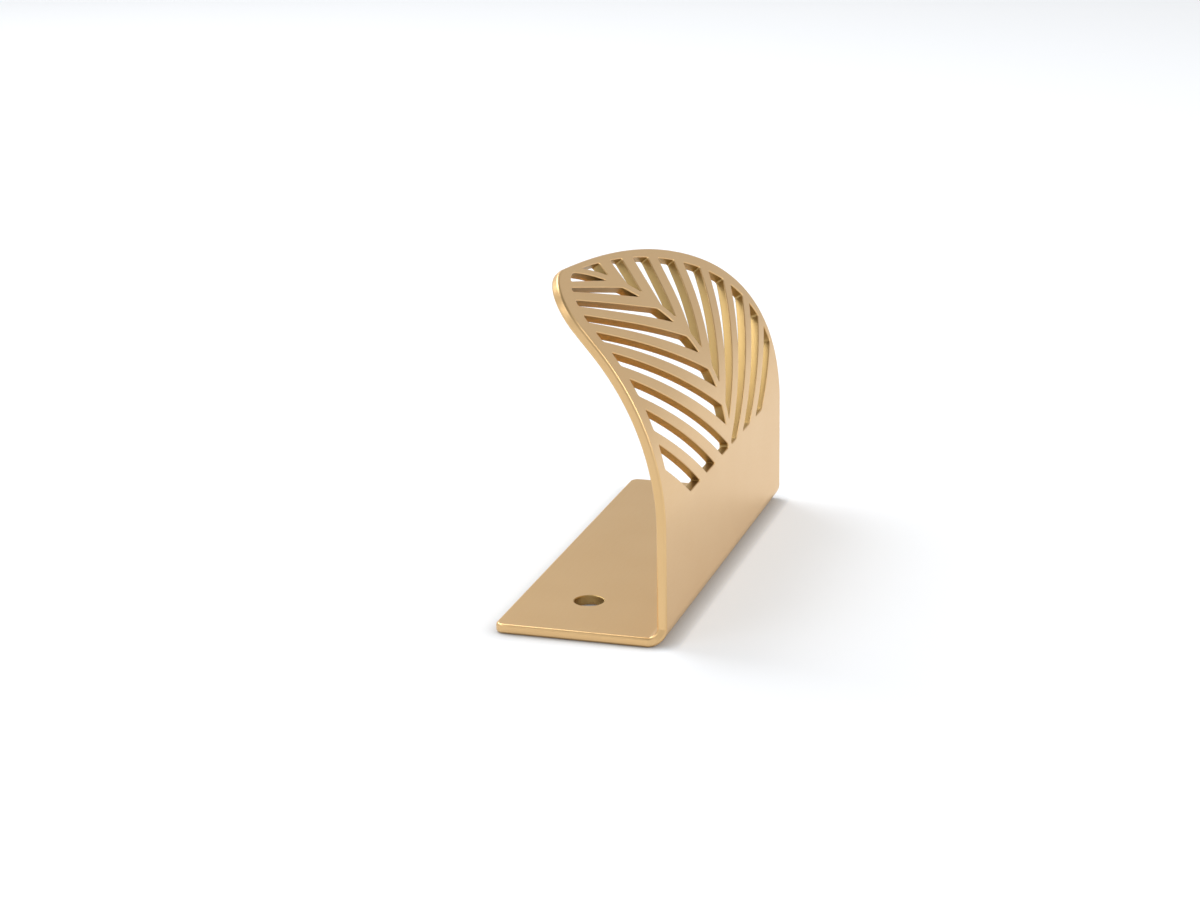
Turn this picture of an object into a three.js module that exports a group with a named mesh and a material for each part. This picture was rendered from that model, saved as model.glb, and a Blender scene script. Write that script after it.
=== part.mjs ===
import * as THREE from 'three';
import { mergeVertices } from 'three/addons/utils/BufferGeometryUtils.js';

// Leaf shaped pull: one piece of brass sheet, cut flat and then bent.
// Millimetres, +Z up. The fold runs along Y, the leaf stands at +X and curls
// over the base toward -X. The origin is in the middle of the base's underside.

// The sheet and its bends
const length = 76;
const sheet = 1.6;
const baseWidth = 28;
const foldInside = 1.2;
const uprightHeight = 15.8;
const curlRadius = 44.5;
const curlDegrees = 40;
const foldSteps = 6;
const curlSteps = 8;

// The base, which reaches a little beyond the leaf at the near end
const baseReach = 1.2;
const baseCorner = 1.5;
const holeDiameter = 4.8;
const holeFromEdge = 11.5;
const holeFromEnd = 13.7;
const holeSides = 24;

// The leaf's outline, with its heights measured up the outer face from the fold
const tipHeight = 60.3;
const tipSlopeDegrees = 3;
const tipCorner = 9;
const shoulderHeight = 21.1;
const shoulderHandle = 11.8;
const outlineSteps = 32;

// The pierced field inside the leaf's border
const nearBorder = 3.6;
const farBorder = 1.8;
const tipBorder = 1;
const shoulderBorder = 5;
const fieldBottom = 17.9;
const fieldCorner = 9;
const fieldSteps = 20;

// The midrib: straight up from the fold, then an arc toward the tip. Its near
// side tapers toward the far one all along the arc.
const midribFromNear = 39.9;
const midribStraight = 21;
const midribRadius = 38.6;
const midribWidth = 2.1;
const midribTaper = 1.6;

// The side ribs. From the second one down they leave the midrib at even steps,
// and the top one has its own rise above the second. Each one's angle is above
// the horizontal, and fans away from the lowest rib's.
const ribs = 9;
const topRibRise = 6.1;
const secondRibHeight = 45.5;
const ribPitch = 6.73;
const lowestRibDegrees = 36.4;
const ribSteps = 4;
const nearRibs = {
  side: -1, fan: -19.3, fanPower: 1.85, radius: -714, root: 3.34, topRoot: 2.6, taper: 1.2,
};
const farRibs = {
  side: 1, fan: 48, fanPower: 2.7, radius: 770, root: 3.63, topRoot: 3, taper: 0.46,
};

// Edges and corners of the cuts
const slotCorner = 0.45;
const slotCornerSteps = 2;
const cornerSteps = 8;
const edgeBreak = 0.25;
const sharpTurn = 0.3;
const samePoint = 0.02;
const smallestSlot = 1;
const flipMargin = 1e-6;
const settleRounds = 8;

const finish = { color: 0xcba878, roughness: 0.35, metalness: 1 };

const foldOutside = foldInside + sheet;
const foldArc = foldOutside * Math.PI / 2;
const curlAngle = THREE.MathUtils.degToRad(curlDegrees);
const freeEdge = -(foldArc + baseWidth - foldOutside);
const tipSlope = Math.tan(THREE.MathUtils.degToRad(tipSlopeDegrees));

const point = (x, y) => new THREE.Vector2(x, y);

// The flat pattern lies in a plane: x runs along the fold, y up the sheet from
// the end of the fold, so that the base has negative y.

// Rounds the corners of a loop that turn sharply, each with the radius found
// for it. A corner is limited by the straight lengths beside it.
function rounded(loop, radiusAt, steps) {
  const turns = loop.map((p, i) => {
    const before = p.clone().sub(loop.at(i - 1));
    const after = loop[(i + 1) % loop.length].clone().sub(p);
    return Math.atan2(before.cross(after), before.dot(after));
  });
  const isCorner = (i) => Math.abs(turns.at(i % loop.length)) > sharpTurn;
  const room = (i, j) => {
    const share = isCorner(i) && isCorner(j) ? 0.48 : 0.95;
    return share * loop.at(i).distanceTo(loop[j % loop.length]);
  };
  return loop.flatMap((p, i) => {
    if (!isCorner(i)) return [p];
    const slope = Math.tan(Math.abs(turns[i]) / 2);
    const tangent = Math.min(radiusAt(p) * slope, room(i - 1, i), room(i, i + 1));
    const start = p.clone().lerp(loop.at(i - 1), tangent / p.distanceTo(loop.at(i - 1)));
    const inward = p.clone().sub(start).rotateAround(point(0, 0), Math.sign(turns[i]) * Math.PI / 2);
    const centre = start.clone().add(inward.setLength(tangent / slope));
    const arcPoint = (_, n) => start.clone().rotateAround(centre, turns[i] * n / steps);
    return Array.from({ length: steps + 1 }, arcPoint);
  });
}

// Keeps the part of a loop to the left of the line from a to b.
function clipped(loop, a, b) {
  const side = (p) => b.clone().sub(a).cross(p.clone().sub(a));
  return loop.flatMap((p, i) => {
    const next = loop[(i + 1) % loop.length];
    const here = side(p);
    const there = side(next);
    const kept = here >= 0 ? [p] : [];
    if (here * there < 0) kept.push(p.clone().lerp(next, here / (here - there)));
    return kept;
  });
}

const distinct = (loop) => loop.filter((p, i) => p.distanceTo(loop.at(i - 1)) > samePoint);

function outline() {
  const leaf = new THREE.CubicBezierCurve(
    point(length, shoulderHeight),
    point(length, shoulderHeight + shoulderHandle),
    point(length, tipHeight - length * tipSlope),
    point(0, tipHeight));
  const base = [point(-baseReach, -foldArc), point(-baseReach, freeEdge), point(length, freeEdge)];
  const whole = [point(0, 0), ...base, ...leaf.getPoints(outlineSteps)];
  return rounded(whole, (p) => (p.y < 0 ? baseCorner : tipCorner), cornerSteps);
}

function field() {
  const far = length - farBorder;
  const top = tipHeight - tipBorder;
  const shoulder = shoulderHeight + shoulderBorder;
  const border = new THREE.CubicBezierCurve(
    point(far, shoulder),
    point(far, shoulder),
    point(far, top - far * tipSlope),
    point(0, top));
  const whole = [point(0, fieldBottom), point(far, fieldBottom), ...border.getPoints(fieldSteps)];
  const open = clipped(whole, point(nearBorder, 1), point(nearBorder, 0));
  return rounded(distinct(open), () => fieldCorner, cornerSteps);
}

// The radius of one side of the midrib after a turn of its arc.
function reachAt({ side }, turn) {
  const taper = side < 0 ? midribTaper * (turn / (Math.PI / 2)) ** 2 : 0;
  return midribRadius + side * midribWidth / 2 + taper;
}

// A point on one side of the midrib, by the way travelled up its centre line
// from the end of its straight part.
function midribSide(family, travel) {
  const turn = Math.max(travel, 0) / midribRadius;
  const reach = reachAt(family, turn);
  const x = midribFromNear - midribRadius + reach * Math.cos(turn);
  return point(x, midribStraight + Math.min(travel, 0) + reach * Math.sin(turn));
}

// The travel at which a side of the midrib has risen to a height.
function travelTo(family, height) {
  const rise = height - midribStraight;
  let turn = 0;
  for (let round = 0; rise > 0 && round < settleRounds; round += 1) {
    turn = Math.asin(Math.min(rise / reachAt(family, turn), 1));
  }
  return rise > 0 ? turn * midribRadius : rise;
}

// The height at which a rib's lower or upper edge leaves the midrib.
function rootHeight(family, rib, upper) {
  const height = secondRibHeight + (rib > 1 ? ribPitch * (2 - rib) : topRibRise);
  return height + (upper ? (rib > 1 ? family.root : family.topRoot) : 0);
}

// One edge of a rib, a slight arc from the midrib to beyond the border. The
// upper edge tapers toward the lower one.
function ribEdge(family, rib, upper) {
  const root = midribSide(family, travelTo(family, rootHeight(family, rib, upper)));
  const fan = family.fan * ((ribs - rib) / (ribs - 1)) ** family.fanPower;
  const start = THREE.MathUtils.degToRad(lowestRibDegrees + fan - (upper ? family.taper : 0));
  return Array.from({ length: ribSteps + 1 }, (_, n) => {
    const angle = start + length / family.radius * n / ribSteps;
    const x = root.x + family.side * family.radius * (Math.sin(angle) - Math.sin(start));
    return point(x, root.y + family.radius * (Math.cos(start) - Math.cos(angle)));
  });
}

// The slot below a rib: between that rib, the next one, the midrib and the
// border. Above the first rib the midrib itself closes the slot.
function slot(family, rib, border) {
  const lower = ribEdge(family, rib + 1, true);
  const upper = rib > 0 ? ribEdge(family, rib, false).reverse() : [];
  const top = rib > 0 ? travelTo(family, rootHeight(family, rib, false)) : midribRadius * Math.PI / 2;
  const bottom = travelTo(family, rootHeight(family, rib + 1, true));
  const steps = Math.ceil((top - bottom) / 2);
  const sidePoint = (_, n) => midribSide(family, top + (bottom - top) * n / steps);
  const side = Array.from({ length: steps }, sidePoint);
  const whole = border.reduce(
    (loop, p, i) => clipped(loop, p, border[(i + 1) % border.length]),
    distinct([...lower, ...upper, ...side]));
  return rounded(distinct(whole), () => slotCorner, slotCornerSteps);
}

function hole(x) {
  const middle = freeEdge + holeFromEdge;
  const rim = new THREE.EllipseCurve(x, middle, holeDiameter / 2, holeDiameter / 2);
  return rim.getPoints(holeSides).slice(0, holeSides);
}

// Moves each point of a loop into the sheet on the loop's left.
function inset(loop, distance) {
  const left = (a, b) => point(a.y - b.y, b.x - a.x).normalize();
  return loop.map((p, i) => {
    const before = left(loop.at(i - 1), p);
    const after = left(p, loop[(i + 1) % loop.length]);
    const mitre = distance / (1 + before.dot(after));
    return p.clone().addScaledVector(before, mitre).addScaledVector(after, mitre);
  });
}

// Flips the diagonals of a triangulated face until its triangles are as full
// as its corners allow.
function evened(corners, triangles) {
  const opening = (triangle, a, b) => {
    const apex = corners[triangle.find((i) => i !== a && i !== b)];
    const toA = corners[a].clone().sub(apex);
    const toB = corners[b].clone().sub(apex);
    return Math.abs(Math.atan2(toA.cross(toB), toA.dot(toB)));
  };
  const edge = (a, b) => `${a} ${b}`;
  for (let flips = 1; flips > 0;) {
    flips = 0;
    const owners = new Map();
    triangles.forEach((t) => t.forEach((a, i) => owners.set(edge(a, t[(i + 1) % 3]), t)));
    for (const [key, here] of owners) {
      const [a, b] = key.split(' ').map(Number);
      const there = owners.get(edge(b, a));
      if (!there || opening(here, a, b) + opening(there, a, b) < Math.PI + flipMargin) continue;
      const c = here.find((i) => i !== a && i !== b);
      const d = there.find((i) => i !== a && i !== b);
      for (const t of [here, there]) t.forEach((i, n) => owners.delete(edge(i, t[(n + 1) % 3])));
      here.splice(0, 3, a, d, c);
      there.splice(0, 3, d, b, c);
      flips += 1;
    }
  }
  return triangles;
}

const wound = (loop, clockwise) => {
  return THREE.ShapeUtils.isClockWise(loop) === clockwise ? loop : [...loop].reverse();
};
const at = (p, depth) => new THREE.Vector3(p.x, p.y, depth);

// The flat blank as triangles: x and y in the pattern, z the depth below the
// face that becomes the outer one.
function blank() {
  const border = field();
  const slots = [nearRibs, farRibs].flatMap((family) =>
    Array.from({ length: ribs }, (_, rib) => slot(family, rib, border)));
  const isCut = (loop) => loop.length > 2 && Math.abs(THREE.ShapeUtils.area(loop)) > smallestSlot;
  const cuts = slots.filter(isCut);
  const holes = [holeFromEnd - baseReach, length - holeFromEnd].map((x) => wound(hole(x), true));
  const soft = [wound(outline(), false), ...holes];
  const crisp = cuts.map((loop) => wound(loop, true));
  const face = [...soft.map((loop) => inset(loop, edgeBreak)), ...crisp];
  const corners = face.flat();
  const triangles = [];
  for (const t of evened(corners, THREE.ShapeUtils.triangulateShape(face[0], face.slice(1)))) {
    const [p, q, r] = t.map((i) => corners[i]);
    triangles.push([at(p, 0), at(q, 0), at(r, 0)], [at(p, sheet), at(r, sheet), at(q, sheet)]);
  }
  [...soft, ...crisp].forEach((loop, n) => {
    const middle = n < soft.length ? [[loop, edgeBreak], [loop, sheet - edgeBreak]] : [];
    const rings = [[face[n], 0], ...middle, [face[n], sheet]];
    rings.slice(1).forEach(([ring, depth], m) => {
      const [above, height] = rings[m];
      ring.forEach((p, i) => {
        const j = (i + 1) % ring.length;
        triangles.push(
          [at(above[i], height), at(p, depth), at(above[j], height)],
          [at(above[j], height), at(p, depth), at(ring[j], depth)]);
      });
    });
  });
  return triangles;
}

// Cuts a triangle along lines across the sheet, so that it can bend there. The
// lines come lowest first.
function scored(triangle, lines) {
  const pieces = [];
  let rest = triangle;
  for (const line of lines) {
    const side = (p) => (Math.abs(p.y - line) < samePoint ? 0 : Math.sign(p.y - line));
    const half = (sign) => rest.flatMap((p, i) => {
      const next = rest[(i + 1) % rest.length];
      const kept = side(p) === -sign ? [] : [p];
      if (side(p) * side(next) >= 0) return kept;
      const [low, high] = side(p) < 0 ? [p, next] : [next, p];
      return [...kept, low.clone().lerp(high, (line - low.y) / (high.y - low.y))];
    });
    if (!rest.some((p) => side(p) < 0)) continue;
    if (!rest.some((p) => side(p) > 0)) break;
    pieces.push(half(-1));
    rest = half(1);
  }
  return [...pieces, rest].flatMap((piece) => piece.slice(2).map((p, i) => [piece[0], piece[i + 1], p]));
}

// Bends a point of the blank: flat base, fold, upright, curl, straight tip.
function bent({ x: along, y: up, z: depth }) {
  const fold = THREE.MathUtils.clamp((up + foldArc) / foldOutside, 0, Math.PI / 2);
  const curl = THREE.MathUtils.clamp((up - uprightHeight) / curlRadius, 0, curlAngle);
  const onBase = Math.min(up + foldArc, 0);
  const onUpright = THREE.MathUtils.clamp(up, 0, uprightHeight);
  const onTip = Math.max(up - uprightHeight - curlRadius * curlAngle, 0);
  const foldX = onBase + foldOutside * Math.sin(fold) - foldOutside;
  const foldZ = foldOutside * (1 - Math.cos(fold)) + onUpright;
  const x = foldX - curlRadius * (1 - Math.cos(curl)) - onTip * Math.sin(curl);
  const z = foldZ + curlRadius * Math.sin(curl) + onTip * Math.cos(curl);
  const lean = fold + curl;
  return new THREE.Vector3(
    x - depth * Math.sin(lean) + baseWidth / 2,
    along - (length - baseReach) / 2,
    z + depth * Math.cos(lean));
}

function leafPull() {
  const foldLines = Array.from({ length: foldSteps + 1 }, (_, n) => foldArc * (n / foldSteps - 1));
  const curlLine = (_, n) => uprightHeight + curlRadius * curlAngle * n / curlSteps;
  const curlLines = Array.from({ length: curlSteps + 1 }, curlLine);
  const lines = [...foldLines, ...curlLines];
  const triangles = blank().flatMap((triangle) => scored(triangle, lines));
  const geometry = new THREE.BufferGeometry().setFromPoints(triangles.flat().map(bent));
  const merged = mergeVertices(geometry, 1e-4);
  merged.computeVertexNormals();
  const pull = new THREE.Mesh(merged, new THREE.MeshStandardMaterial(finish));
  pull.name = 'leaf_pull';
  return pull;
}

const model = new THREE.Group();
model.add(leafPull());

export default model;
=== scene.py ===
import bpy
import numpy as np
from mathutils import Matrix, Vector
from mathutils.geometry import delaunay_2d_cdt


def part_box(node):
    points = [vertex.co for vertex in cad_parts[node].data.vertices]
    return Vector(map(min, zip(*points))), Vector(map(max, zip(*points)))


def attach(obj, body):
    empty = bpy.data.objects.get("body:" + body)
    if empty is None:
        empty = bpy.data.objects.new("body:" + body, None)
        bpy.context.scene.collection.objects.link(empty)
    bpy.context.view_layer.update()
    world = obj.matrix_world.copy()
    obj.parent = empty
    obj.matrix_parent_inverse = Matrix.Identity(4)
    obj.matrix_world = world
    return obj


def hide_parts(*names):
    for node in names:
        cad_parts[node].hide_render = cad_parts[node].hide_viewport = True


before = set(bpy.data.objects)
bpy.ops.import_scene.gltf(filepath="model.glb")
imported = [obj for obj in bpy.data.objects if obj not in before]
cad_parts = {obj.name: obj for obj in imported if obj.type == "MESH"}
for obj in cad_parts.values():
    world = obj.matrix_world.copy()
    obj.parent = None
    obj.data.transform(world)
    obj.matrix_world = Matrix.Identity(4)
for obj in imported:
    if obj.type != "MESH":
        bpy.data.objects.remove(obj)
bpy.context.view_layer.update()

# The leaf pull is one piece of brass sheet. Its outline, slots and screw holes are
# cut in the flat and its edges are eased. Then it is folded to a base, which two
# screws hold, and an upright, which is rolled over the base.
MM = 0.001
low, high = (np.array(corner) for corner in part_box("leaf_pull"))
# At the near end the base reaches a little beyond the leaf.
BASE_REACH = 1.2 * MM
LENGTH = high[1] - low[1] - BASE_REACH
BASE_WIDTH = high[0] - low[0]
SHEET = 1.6 * MM
FOLD_INSIDE = 1.2 * MM
UPRIGHT = 15.8 * MM
CURL_RADIUS = 44.5 * MM
CURL_ANGLE = np.radians(40.0)
FOLD_OUTSIDE = FOLD_INSIDE + SHEET
FOLD_ARC = FOLD_OUTSIDE * np.pi / 2
# The flat pattern is measured on the outer face: along from the leaf's near edge,
# up from the fold's upper end, and depth in from the face.
FREE_EDGE = -(FOLD_ARC + BASE_WIDTH - FOLD_OUTSIDE)

# The base and its screw holes
BASE_CORNER = 1.5 * MM
HOLE_RADIUS = 2.4 * MM
HOLE_FROM_EDGE = 11.5 * MM
HOLE_FROM_END = 13.7 * MM

# The leaf's outline, from the tip over the far shoulder
TIP_HEIGHT = 60.3 * MM
TIP_SLOPE = np.radians(3.0)
TIP_CORNER = 9.0 * MM
SHOULDER_HEIGHT = 21.1 * MM
SHOULDER_HANDLE = 11.8 * MM

# The solid borders round the pierced field
NEAR_BORDER = 3.6 * MM
FAR_BORDER = 1.8 * MM
TIP_BORDER = 1.0 * MM
SHOULDER_BORDER = 5.0 * MM
FIELD_BOTTOM = 17.9 * MM
FIELD_CORNER = 9.0 * MM

# The midrib: straight at its foot, then an arc toward the near edge
MIDRIB_FROM_NEAR = 39.9 * MM
MIDRIB_STRAIGHT = 21.0 * MM
MIDRIB_RADIUS = 38.6 * MM
MIDRIB_WIDTH = 2.1 * MM
MIDRIB_TAPER = 1.6 * MM

# The side ribs, counted from the top. Each one's angle fans away from the lowest's.
RIBS = 9
TOP_RIB_RISE = 6.1 * MM
SECOND_RIB_HEIGHT = 45.5 * MM
RIB_PITCH = 6.73 * MM
LOWEST_RIB = np.radians(36.4)
NEAR_RIBS = {
    "side": -1, "fan": np.radians(-19.3), "power": 1.85, "radius": -714 * MM,
    "root": 3.34 * MM, "top_root": 2.6 * MM, "taper": np.radians(1.2)}
FAR_RIBS = {
    "side": 1, "fan": np.radians(48.0), "power": 2.7, "radius": 770 * MM,
    "root": 3.63 * MM, "top_root": 3.0 * MM, "taper": np.radians(0.46)}

# The cuts' corners, the eased edges, and the smallest slot that is cut
SLOT_CORNER = 0.45 * MM
OUTLINE_EASE = 0.45 * MM
CUT_EASE = 0.2 * MM
SMALLEST_SLOT = 1.0 * MM ** 2

# How finely the pattern is drawn, and how finely the sheet is meshed: the longest
# step, and the most that an outline and the bends may turn in one step.
ARC_POINTS = 24
CURVE_POINTS = 120
RIB_POINTS = 30
EASE_POINTS = 4
SETTLE_ROUNDS = 8
FINE_STEP = 0.08 * MM
LONG_STEP = 1.2 * MM
FACE_STEP = 2 * LONG_STEP
TURN_STEP = np.radians(12.0)
BEND_STEP = np.radians(3.0)
# Points inside a face keep clear of its edge, and triangles of less than half
# this area are left out.
EDGE_CLEARANCE = 1.4 * OUTLINE_EASE
SLIVER = 1e-13
SAME_POINT_MM = 1e-6


def lean(up):
    """The angles by which the fold and the curl have turned the sheet at a height up
    the flat pattern: the way into each arc over its radius, up to the full angle."""
    fold = np.clip((up + FOLD_ARC) / FOLD_OUTSIDE, 0, np.pi / 2)
    return fold, np.clip((up - UPRIGHT) / CURL_RADIUS, 0, CURL_ANGLE)


def bent(along, up, depth):
    """Bends points of the flat sheet. The runs on the base, upright and tip are
    straight. The fold is a circle arc, its radius times one minus the sine across
    and one minus the cosine up. The curl's goes by one minus the cosine across and
    the sine up. Depth goes in from the outer face. Gives places, outward and upward
    directions."""
    fold, curl = lean(up)
    on_base = np.minimum(up + FOLD_ARC, 0)
    on_upright = np.clip(up, 0, UPRIGHT)
    on_tip = np.maximum(up - UPRIGHT - CURL_RADIUS * CURL_ANGLE, 0)
    fold_x = on_base - FOLD_OUTSIDE * (1 - np.sin(fold))
    fold_z = FOLD_OUTSIDE * (1 - np.cos(fold)) + on_upright
    x = fold_x - CURL_RADIUS * (1 - np.cos(curl)) - on_tip * np.sin(curl)
    z = fold_z + CURL_RADIUS * np.sin(curl) + on_tip * np.cos(curl)
    turned = fold + curl
    outward = np.stack([np.sin(turned), 0 * turned, -np.cos(turned)], -1)
    upward = np.stack([np.cos(turned), 0 * turned, np.sin(turned)], -1)
    on_face = np.stack([high[0] + x, low[1] + BASE_REACH + along, low[2] + z], -1)
    return on_face - outward * depth[..., None], outward, upward


def arc(centre, radius, start, end):
    """Points of a circle arc between two angles."""
    angle = np.linspace(start, end, ARC_POINTS)
    return np.array(centre) + radius * np.stack([np.cos(angle), np.sin(angle)], -1)


def curved_top(right, shoulder, handle, top, slope, left, corner):
    """The leaf's top edge, anticlockwise: a cubic Bezier curve that rises straight
    up from the shoulder and comes in along the slope, then an arc down the left.
    The arc's circle is the highest that still lies below the curve."""
    slope_end = (right, top - right * np.tan(slope))
    controls = np.array([(right, shoulder), (right, shoulder + handle), slope_end, (0, top)])
    t = np.linspace(0, 1, CURVE_POINTS)[:, None]
    weights = np.hstack([(1 - t) ** 3, 3 * t * (1 - t) ** 2, 3 * t ** 2 * (1 - t), t ** 3])
    curve = weights @ controls
    across = np.minimum(np.abs(curve[:, 0] - left - corner), corner)
    middle = curve[:, 1] - np.sqrt(corner ** 2 - across ** 2)
    touch = np.argmin(np.where(across < corner, middle, top))
    centre = (left + corner, middle[touch])
    radius = curve[touch] - centre
    round_end = arc(centre, corner, np.arctan2(radius[1], radius[0]), np.pi)
    return np.vstack([curve[:touch], round_end])


def outline():
    """The blank's outline, anticlockwise."""
    r = BASE_CORNER
    near = arc((r - BASE_REACH, FREE_EDGE + r), r, np.pi, 1.5 * np.pi)
    far = arc((LENGTH - r, FREE_EDGE + r), r, 1.5 * np.pi, 2 * np.pi)
    top = curved_top(
        LENGTH, SHOULDER_HEIGHT, SHOULDER_HANDLE, TIP_HEIGHT, TIP_SLOPE, 0, TIP_CORNER)
    return np.vstack([near, far, top, [(0, 0), (-BASE_REACH, -FOLD_ARC)]])


def field():
    """The border of the pierced field, anticlockwise."""
    right = LENGTH - FAR_BORDER
    shoulder = SHOULDER_HEIGHT + SHOULDER_BORDER
    top = curved_top(
        right, shoulder, 0, TIP_HEIGHT - TIP_BORDER, TIP_SLOPE, NEAR_BORDER, FIELD_CORNER)
    return np.vstack([[(NEAR_BORDER, FIELD_BOTTOM), (right, FIELD_BOTTOM)], top])


def reach_at(ribs, turn):
    """The radius of one side of the midrib after a turn of its arc. The near side's
    grows with the square of the turn, which tapers the midrib toward the tip."""
    taper = MIDRIB_TAPER * (turn / (np.pi / 2)) ** 2 if ribs["side"] < 0 else 0
    return MIDRIB_RADIUS + ribs["side"] * MIDRIB_WIDTH / 2 + taper


def midrib_side(ribs, travel):
    """One side of the midrib, by the way travelled up its centre line: straight,
    then a circle arc toward the near edge."""
    turn = np.maximum(travel, 0) / MIDRIB_RADIUS
    reach = reach_at(ribs, turn)
    x = MIDRIB_FROM_NEAR - MIDRIB_RADIUS + reach * np.cos(turn)
    return np.stack([x, MIDRIB_STRAIGHT + np.minimum(travel, 0) + reach * np.sin(turn)], -1)


def travel_to(ribs, height):
    """The way up the midrib's centre line at which one of its sides has a height."""
    rise = height - MIDRIB_STRAIGHT
    turn = 0.0
    for _ in range(SETTLE_ROUNDS if rise > 0 else 0):
        turn = np.arcsin(min(rise / reach_at(ribs, turn), 1))
    return MIDRIB_RADIUS * turn if rise > 0 else rise


def root_height(ribs, rib, upper):
    """The height at which a rib's lower (0) or upper (1) edge leaves the midrib:
    even steps down from the second rib, and the top rib's own rise above it."""
    height = SECOND_RIB_HEIGHT + (RIB_PITCH * (2 - rib) if rib > 1 else TOP_RIB_RISE)
    return height + upper * ribs["root" if rib > 1 else "top_root"]


def rib_edge(ribs, rib, upper):
    """One edge of a rib, a slight circle arc out from the midrib. Its angle is the
    lowest rib's plus a fan that grows as a power of the rib's place up the leaf."""
    root = midrib_side(ribs, np.array(travel_to(ribs, root_height(ribs, rib, upper))))
    fan = ribs["fan"] * ((RIBS - rib) / (RIBS - 1)) ** ribs["power"]
    start = LOWEST_RIB + fan - upper * ribs["taper"]
    angle = start + np.linspace(0, LENGTH, RIB_POINTS) / ribs["radius"]
    across = ribs["side"] * ribs["radius"] * (np.sin(angle) - np.sin(start))
    return root + np.stack([across, ribs["radius"] * (np.cos(start) - np.cos(angle))], -1)


def clipped(loop, start, end):
    """The part of a loop to the left of a line: points whose cross product with the
    line is positive, and the crossings where it changes sign."""
    line = end - start
    here = line[0] * (loop[:, 1] - start[1]) - line[1] * (loop[:, 0] - start[0])
    there = np.roll(here, -1)
    crosses = here * there < 0
    share = np.divide(here, here - there, out=np.zeros_like(here), where=crosses)
    crossing = loop + share[:, None] * (np.roll(loop, -1, axis=0) - loop)
    pairs = np.stack([loop, crossing], 1).reshape(-1, 2)
    return pairs[np.stack([here >= 0, crosses], 1).ravel()]


def area(loop):
    """Half the sum of the cross products of neighbouring points."""
    x, y = loop.T
    return 0.5 * np.sum(x * np.roll(y, -1) - y * np.roll(x, -1)) if len(loop) else 0.0


def slot(ribs, rib):
    """The slot below a rib: both ribs' facing edges and the midrib's side, cut off
    at the field's border. Above the first rib the midrib itself closes the slot."""
    lower = rib_edge(ribs, rib + 1, 1)
    upper = rib_edge(ribs, rib, 0)[::-1] if rib else np.empty((0, 2))
    top = travel_to(ribs, root_height(ribs, rib, 0)) if rib else MIDRIB_RADIUS * np.pi / 2
    bottom = travel_to(ribs, root_height(ribs, rib + 1, 1))
    travel = np.linspace(top, bottom, RIB_POINTS)[:-1]
    loop = np.vstack([lower, upper, midrib_side(ribs, travel)])
    border = field()
    for start, end in zip(border, np.roll(border, -1, axis=0)):
        loop = clipped(loop, start, end)
    return loop


def sampled(path, measure, at):
    """Points of a path where a measure along it has the values asked for."""
    return np.stack([np.interp(at, measure, path[:, 0]), np.interp(at, measure, path[:, 1])], -1)


def even(loop, step):
    """A loop with its points evenly spaced along it."""
    closed = np.vstack([loop, loop[:1]])
    way = np.concatenate([[0], np.cumsum(np.linalg.norm(np.diff(closed, axis=0), axis=1))])
    return sampled(closed, way, np.linspace(0, way[-1], int(way[-1] / step), endpoint=False))


def softened(loop, radius):
    """A loop with its corners rounded: each point is the mean of its neighbours
    within one radius along the loop."""
    fine = even(loop, FINE_STEP)
    reach = int(radius / FINE_STEP)
    shifted = [np.roll(fine, shift, axis=0) for shift in range(-reach, reach + 1)]
    return np.mean(shifted, axis=0)


def meshed(loop):
    """A loop with points only as close as its length, its turns and the sheet's
    bends ask: equal steps of the sum of all three."""
    fine = even(loop, FINE_STEP)
    closed = np.vstack([fine, fine[:1]])
    step = np.diff(closed, axis=0)
    heading = np.unwrap(np.arctan2(step[:, 1], step[:, 0]))
    turn = np.abs(np.diff(heading, append=heading[0] + 2 * np.pi * np.sign(area(loop))))
    bend = np.abs(np.diff(sum(lean(closed[:, 1]))))
    cost = np.linalg.norm(step, axis=1) / LONG_STEP + turn / TURN_STEP + bend / BEND_STEP
    total = np.concatenate([[0], np.cumsum(cost)])
    at = np.linspace(0, total[-1], int(np.ceil(total[-1])), endpoint=False)
    return sampled(closed, total, at)


def wound(loop, way):
    """A loop turned anticlockwise (1) or clockwise (-1)."""
    return loop if area(loop) * way > 0 else loop[::-1]


hole_row = FREE_EDGE + HOLE_FROM_EDGE
hole_places = (HOLE_FROM_END - BASE_REACH, LENGTH - HOLE_FROM_END)
holes = [arc((x, hole_row), HOLE_RADIUS, 0, 2 * np.pi)[:-1] for x in hole_places]
slots = [slot(ribs, rib) for ribs in (NEAR_RIBS, FAR_RIBS) for rib in range(RIBS)]
slots = [softened(loop, SLOT_CORNER) for loop in slots if abs(area(loop)) > SMALLEST_SLOT]
loops = [wound(meshed(outline()), 1)] + [wound(meshed(loop), -1) for loop in holes + slots]


def edge_normals(loop):
    """At each point of a loop, the direction in the flat away from the sheet, which
    lies on the loop's left: the mean of the two sides' right-hand normals."""
    step = np.roll(loop, -1, axis=0) - loop
    right = np.stack([step[:, 1], -step[:, 0]], -1)
    right /= np.linalg.norm(right, axis=1, keepdims=True)
    mean = right + np.roll(right, 1, axis=0)
    return mean / np.linalg.norm(mean, axis=1, keepdims=True)


def inside(points, loop):
    """Whether each point lies within a loop: a ray to one side crosses it an odd
    number of times."""
    a, b = loop, np.roll(loop, -1, axis=0)
    x, y = points[:, :1], points[:, 1:]
    spans = (a[:, 1] > y) != (b[:, 1] > y)
    rise = np.where(a[:, 1] == b[:, 1], 1, b[:, 1] - a[:, 1])
    crossing = a[:, 0] + (y - a[:, 1]) * (b[:, 0] - a[:, 0]) / rise
    return np.sum(spans & (x < crossing), axis=1) % 2 == 1


def between(points, loops):
    """Whether points lie within the first loop and in none of the others."""
    return np.logical_xor.reduce([inside(points, loop) for loop in loops])


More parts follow.
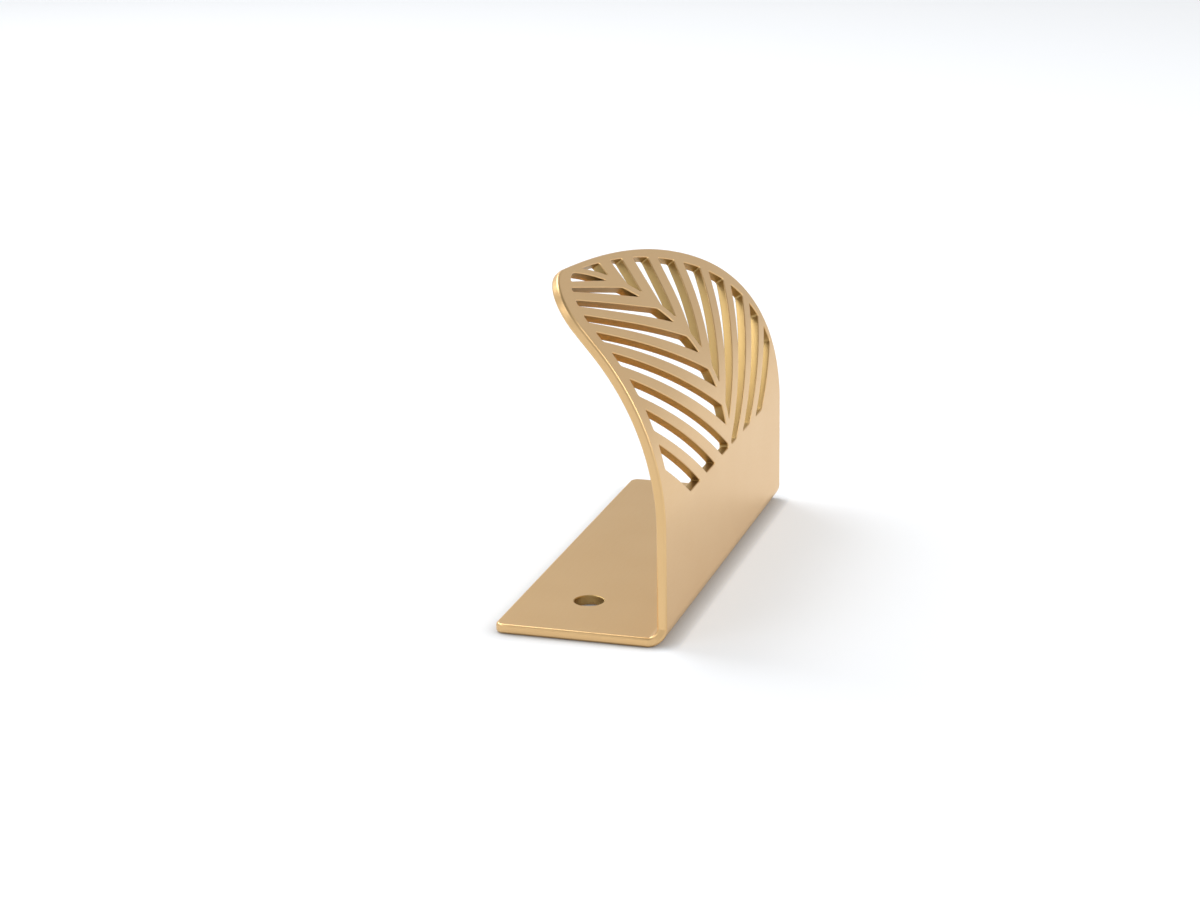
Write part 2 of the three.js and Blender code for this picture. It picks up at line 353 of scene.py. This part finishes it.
# The eased edge's section: a quarter circle from the outer face to the cut wall,
# and its mirror at the inner face.
quarter = np.linspace(0, np.pi / 2, EASE_POINTS)
outer_half = np.arange(2 * EASE_POINTS) < EASE_POINTS
set_in = np.concatenate([1 - np.sin(quarter), 1 - np.sin(quarter[::-1])])
ease_depth = np.concatenate([1 - np.cos(quarter), 1 - np.cos(quarter[::-1])])
facing = np.concatenate([np.cos(quarter), -np.cos(quarter[::-1])])
walling = np.concatenate([np.sin(quarter), np.sin(quarter[::-1])])
layers = len(set_in)

rim = np.vstack(loops)
rim_normal = np.vstack([edge_normals(loop) for loop in loops])
eases = [OUTLINE_EASE] + [CUT_EASE] * (len(loops) - 1)
ease = np.repeat(eases, [len(loop) for loop in loops])
rim_flat = rim[:, None] - rim_normal[:, None] * (ease[:, None] * set_in)[..., None]
rim_depth = np.where(outer_half, ease[:, None] * ease_depth, SHEET - ease[:, None] * ease_depth)

# Points inside the faces, on rows as close as the bends ask.
fold_rows = np.arange(-FOLD_ARC, 0, FOLD_OUTSIDE * BEND_STEP)
base_rows = np.arange(FREE_EDGE, -FOLD_ARC, FACE_STEP)
leaf_rows = np.arange(0, TIP_HEIGHT, LONG_STEP)
rows = np.concatenate([fold_rows, base_rows, leaf_rows])
grid = np.stack(np.meshgrid(np.arange(-BASE_REACH, LENGTH, FACE_STEP), rows), -1).reshape(-1, 2)
grid = grid[between(grid, loops)]
to_rim = np.min(np.linalg.norm(grid[:, None] - rim[None], axis=2), axis=1)
grid = grid[to_rim > EDGE_CLEARANCE]

flat = np.vstack([rim_flat[:, 0], grid])
starts = np.cumsum([0] + [len(loop) for loop in loops])
rim_runs = [np.arange(start, end) for start, end in zip(starts[:-1], starts[1:])]
rim_edges = np.vstack([np.stack([run, np.roll(run, -1)], -1) for run in rim_runs])
scaled = [Vector(point) for point in (flat / MM).tolist()]
_, _, triangles, sources, _, _ = delaunay_2d_cdt(
    scaled, rim_edges.tolist(), [], 0, SAME_POINT_MM)
source = np.array([origin[0] for origin in sources])
triangles = source[np.array(triangles)]
face_loops = np.split(rim_flat[:, 0], starts[1:-1])
triangles = triangles[between(flat[triangles].mean(axis=1), face_loops)]
first, second, third = flat[triangles].transpose(1, 0, 2)
winding = np.cross(second - first, third - first)
triangles[winding < 0] = triangles[winding < 0][:, ::-1]
triangles = triangles[np.abs(winding) > SLIVER]

# Every vertex: the rim's layers first, then the faces' inner points on both sides.
rim_count, grid_count = len(rim), len(grid)
along = np.concatenate([rim_flat[..., 0].ravel(), grid[:, 0], grid[:, 0]])
up = np.concatenate([rim_flat[..., 1].ravel(), grid[:, 1], grid[:, 1]])
depth = np.concatenate([rim_depth.ravel(), np.zeros(grid_count), np.full(grid_count, SHEET)])
places, outward, upward = bent(along, up, depth)

rim_index = np.arange(rim_count) * layers
grid_index = np.arange(grid_count) + rim_count * layers
outer_index = np.concatenate([rim_index, grid_index])
inner_index = np.concatenate([rim_index + layers - 1, grid_index + grid_count])
outer_faces = outer_index[triangles]
inner_faces = inner_index[triangles][:, ::-1]
layer = np.arange(layers - 1)
here, there = (rim_edges.T * layers)[..., None] + layer
walls = np.stack([here, here + 1, there + 1, there], -1).reshape(-1, 4)

grid_facing = np.repeat([1.0, -1.0], grid_count)
face_share = np.concatenate([np.tile(facing, rim_count), grid_facing])
wall_share = np.concatenate([np.tile(walling, rim_count), np.zeros(2 * grid_count)])
wall_flat = np.vstack([np.repeat(rim_normal, layers, axis=0), np.zeros((2 * grid_count, 2))])
wall_way = wall_flat[:, :1] * (0.0, 1.0, 0.0) + wall_flat[:, 1:] * upward
normals = face_share[:, None] * outward + wall_share[:, None] * wall_way

mesh = bpy.data.meshes.new("leaf_pull_sheet")
faces = outer_faces.tolist() + inner_faces.tolist() + walls.tolist()
mesh.from_pydata(places.tolist(), [], faces)
mesh.polygons.foreach_set("use_smooth", np.ones(len(mesh.polygons), dtype=bool))
sheet_place = mesh.attributes.new("sheet_place", "FLOAT_VECTOR", "POINT")
sheet_place.data.foreach_set("vector", (np.stack([along, up, depth], -1) / MM).ravel())
mesh.update()
mesh.normals_split_custom_set_from_vertices(normals.tolist())
pull = bpy.data.objects.new("leaf_pull_sheet", mesh)
bpy.context.scene.collection.objects.link(pull)
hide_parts("leaf_pull")
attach(pull, "root")


def linear(colour):
    """An sRGB hex colour as linear red, green, blue and alpha."""
    srgb = np.array([int(colour[i:i + 2], 16) for i in (1, 3, 5)]) / 255
    return (*np.where(srgb <= 0.04045, srgb / 12.92, ((srgb + 0.055) / 1.055) ** 2.4), 1.0)


def emptied(owner):
    """The node tree of a material or world, with no nodes in it."""
    owner.use_nodes = True
    owner.node_tree.nodes.clear()
    return owner.node_tree


def node(tree, kind, settings, links):
    """Adds a node: settings go to its inputs or its own fields, and links join its
    inputs to other nodes' outputs."""
    made = tree.nodes.new(kind)
    for name, value in settings.items():
        if isinstance(name, int) or name in made.inputs:
            made.inputs[name].default_value = value
        else:
            setattr(made, name, value)
    for name, output in links.items():
        tree.links.new(output, made.inputs[name])
    return made


# Satin brushed brass, unlacquered: the brushing blurs what the metal mirrors into
# broad soft tones, warm and pale where the sheet faces the light.
BRASS = "#E2BF8C"
BRASS_DEEP = "#DCB680"
SMOOTHEST = 0.30
ROUGHEST = 0.42
SCRATCH_DEPTH = 0.02 * MM
# Pattern scales are per millimetre. The scratches lie along the fold, about 3 mm
# long and 0.1 mm wide, and the tone drifts over about 12 mm, as bare brass does.
SCRATCHES = (0.33, 10.0, 1.0)
DRIFT = 0.08
brass = bpy.data.materials.new("satin_brushed_brass")
brass_tree = emptied(brass)
brass_place = node(brass_tree, "ShaderNodeAttribute", {"attribute_name": "sheet_place"}, {})
brushed = node(brass_tree, "ShaderNodeMapping", {"Scale": SCRATCHES}, {
    "Vector": brass_place.outputs["Vector"]})
scratches = node(brass_tree, "ShaderNodeTexNoise", {"Scale": 1.0, "Detail": 2.0}, {
    "Vector": brushed.outputs["Vector"]})
drift = node(brass_tree, "ShaderNodeTexNoise", {"Scale": DRIFT, "Detail": 1.0}, {
    "Vector": brass_place.outputs["Vector"]})
tones = {"data_type": "RGBA", 6: linear(BRASS), 7: linear(BRASS_DEEP)}
tone = node(brass_tree, "ShaderNodeMix", tones, {0: drift.outputs[0]})
rough = node(brass_tree, "ShaderNodeMapRange", {"To Min": SMOOTHEST, "To Max": ROUGHEST}, {
    "Value": scratches.outputs[0]})
scratched = node(brass_tree, "ShaderNodeBump", {"Strength": 0.08, "Distance": SCRATCH_DEPTH}, {
    "Height": scratches.outputs[0]})
brass_shader = node(brass_tree, "ShaderNodeBsdfPrincipled", {"Metallic": 1.0}, {
    "Base Color": tone.outputs[2], "Roughness": rough.outputs[0],
    "Normal": scratched.outputs[0]})
node(brass_tree, "ShaderNodeOutputMaterial", {}, {"Surface": brass_shader.outputs[0]})
mesh.materials.append(brass)

# The cut walls of the slots and holes are not brushed. They are rougher, with the
# cut's fine grain of about 0.2 mm. Their colour is brass darkened with painted shade
# to a deep old gold. It stands in for the shade and dark reflections inside the slots
# and holes, so the pattern reads as dark lines.
CUT_WALL_SHADE_COLOUR = "#B69A66"
CUT_ROUGHNESS = 0.45
GRAIN = 5.0
GRAIN_DEPTH = 0.02 * MM
cut_wall_shade_material = bpy.data.materials.new("cut_walls_with_painted_shade")
cut_tree = emptied(cut_wall_shade_material)
cut_place = node(cut_tree, "ShaderNodeAttribute", {"attribute_name": "sheet_place"}, {})
grain = node(cut_tree, "ShaderNodeTexNoise", {"Scale": GRAIN, "Detail": 2.0}, {
    "Vector": cut_place.outputs["Vector"]})
grained = node(cut_tree, "ShaderNodeBump", {"Strength": 0.1, "Distance": GRAIN_DEPTH}, {
    "Height": grain.outputs[0]})
cut_look = {"Base Color": linear(CUT_WALL_SHADE_COLOUR), "Metallic": 1.0, "Roughness": CUT_ROUGHNESS}
cut_shader = node(cut_tree, "ShaderNodeBsdfPrincipled", cut_look, {"Normal": grained.outputs[0]})
node(cut_tree, "ShaderNodeOutputMaterial", {}, {"Surface": cut_shader.outputs[0]})
mesh.materials.append(cut_wall_shade_material)
# The walls of the holes and slots, with their inner eased edges, take the painted shade. The
# outline's walls keep the brushed brass.
is_cut = rim_edges[:, 0] >= starts[1]
is_wall = layer >= EASE_POINTS - 1
painted_shade_walls = (is_cut[:, None] & is_wall).ravel()
paint = np.concatenate([np.zeros(2 * len(triangles)), painted_shade_walls]).astype(np.int32)
mesh.polygons.foreach_set("material_index", paint)

# The floor is a plain white studio table. To the camera, and in what the metal
# mirrors, it is lifted to white, and it keeps the pull's soft shadow.
FLOOR_SIZE = 3.0
FLOOR_DROP = 0.02 * MM
FLOOR = "#D3D6DA"
FLOOR_LIFT = 0.38
# The lift fades close to the pull by its ambient occlusion. This is painted shade that
# darkens the floor inside the screw holes and along the pull's foot.
FADE_REACH = 3 * MM
FADE_POWER = 3.0
floor_corners = np.array([(-1, -1, 0), (1, -1, 0), (1, 1, 0), (-1, 1, 0)]) * FLOOR_SIZE / 2
floor_mesh = bpy.data.meshes.new("floor")
floor_mesh.from_pydata((floor_corners - (0, 0, FLOOR_DROP)).tolist(), [], [(0, 1, 2, 3)])
floor = bpy.data.objects.new("floor", floor_mesh)
bpy.context.scene.collection.objects.link(floor)
floor_paint = bpy.data.materials.new("white_table")
floor_tree = emptied(floor_paint)
floor_ray = node(floor_tree, "ShaderNodeLightPath", {}, {})
seen = node(floor_tree, "ShaderNodeMath", {"operation": "MAXIMUM"}, {
    0: floor_ray.outputs["Is Camera Ray"], 1: floor_ray.outputs["Is Glossy Ray"]})
openness = node(floor_tree, "ShaderNodeAmbientOcclusion", {
    "Distance": FADE_REACH, "samples": 8}, {})
open_share = node(floor_tree, "ShaderNodeMath", {"operation": "POWER", 1: FADE_POWER}, {
    0: openness.outputs["AO"]})
faded = node(floor_tree, "ShaderNodeMath", {"operation": "MULTIPLY"}, {
    0: seen.outputs[0], 1: open_share.outputs[0]})
lift = node(floor_tree, "ShaderNodeMath", {"operation": "MULTIPLY", 1: FLOOR_LIFT}, {
    0: faded.outputs[0]})
glow = node(floor_tree, "ShaderNodeEmission", {"Color": (1, 1, 1, 1)}, {
    "Strength": lift.outputs[0]})
matt = node(floor_tree, "ShaderNodeBsdfDiffuse", {"Color": linear(FLOOR)}, {})
both = node(floor_tree, "ShaderNodeAddShader", {}, {0: glow.outputs[0], 1: matt.outputs[0]})
node(floor_tree, "ShaderNodeOutputMaterial", {}, {"Surface": both.outputs[0]})
floor_mesh.materials.append(floor_paint)

# The studio: a pale room with a darker ceiling, white to the camera, and a large
# soft lamp high on the left that gives the shadow on the right. Two weaker ones
# fill from the front and the right.
ROOM = 0.70
CEILING = 0.30
# Where the tone changes, as the upward part of a direction's unit vector
WALLS_END = 0.45
CEILING_START = 0.95
# What the lamps face
LAMP_AIM = Vector((0, 0, 0.02))
world = bpy.data.worlds.new("studio")
bpy.context.scene.world = world
room_tree = emptied(world)
room_ray = node(room_tree, "ShaderNodeLightPath", {}, {})
direction = node(room_tree, "ShaderNodeTexCoord", {}, {})
steepness = node(room_tree, "ShaderNodeSeparateXYZ", {}, {
    "Vector": direction.outputs["Generated"]})
darkening = {"From Min": WALLS_END, "From Max": CEILING_START, "To Min": ROOM, "To Max": CEILING}
room_tone = node(room_tree, "ShaderNodeMapRange", darkening, {"Value": steepness.outputs["Z"]})
room_light = node(room_tree, "ShaderNodeMath", {"operation": "MAXIMUM"}, {
    0: room_tone.outputs[0], 1: room_ray.outputs["Is Camera Ray"]})
room_shader = node(room_tree, "ShaderNodeBackground", {"Color": (1, 1, 1, 1)}, {
    "Strength": room_light.outputs[0]})
node(room_tree, "ShaderNodeOutputWorld", {}, {"Surface": room_shader.outputs[0]})


def softbox(name, place, size, power):
    """A square lamp of a size in metres and a power in watts that faces the pull."""
    data = bpy.data.lights.new(name, "AREA")
    data.size = size
    data.energy = power
    lamp = bpy.data.objects.new(name, data)
    lamp.location = place
    lamp.rotation_euler = (LAMP_AIM - Vector(place)).to_track_quat("-Z", "Y").to_euler()
    bpy.context.scene.collection.objects.link(lamp)


softbox("key", (-0.45, 0.25, 0.6), 0.5, 3.6)
softbox("front_left", (-0.45, -0.5, 0.4), 0.4, 0.7)
softbox("right", (0.7, 0.1, 0.35), 0.4, 1.8)

# The camera stands in front and a little to the right, looking down at the pull.
CAMERA = Vector((0.116257, -0.396468, 0.147971))
AZIMUTH = np.radians(17.407)
ELEVATION = np.radians(17.38)
ROLL = np.radians(-0.993)
lens = bpy.data.cameras.new("camera")
lens.sensor_width = 36.0
lens.lens = 77.46
camera = bpy.data.objects.new("camera", lens)
level = Matrix.Rotation(AZIMUTH, 4, "Z") @ Matrix.Rotation(np.pi / 2 - ELEVATION, 4, "X")
camera_turn = level @ Matrix.Rotation(ROLL, 4, "Z")
camera.matrix_world = Matrix.Translation(CAMERA) @ camera_turn
bpy.context.scene.collection.objects.link(camera)
bpy.context.scene.camera = camera
bpy.context.scene.view_settings.view_transform = "Standard"
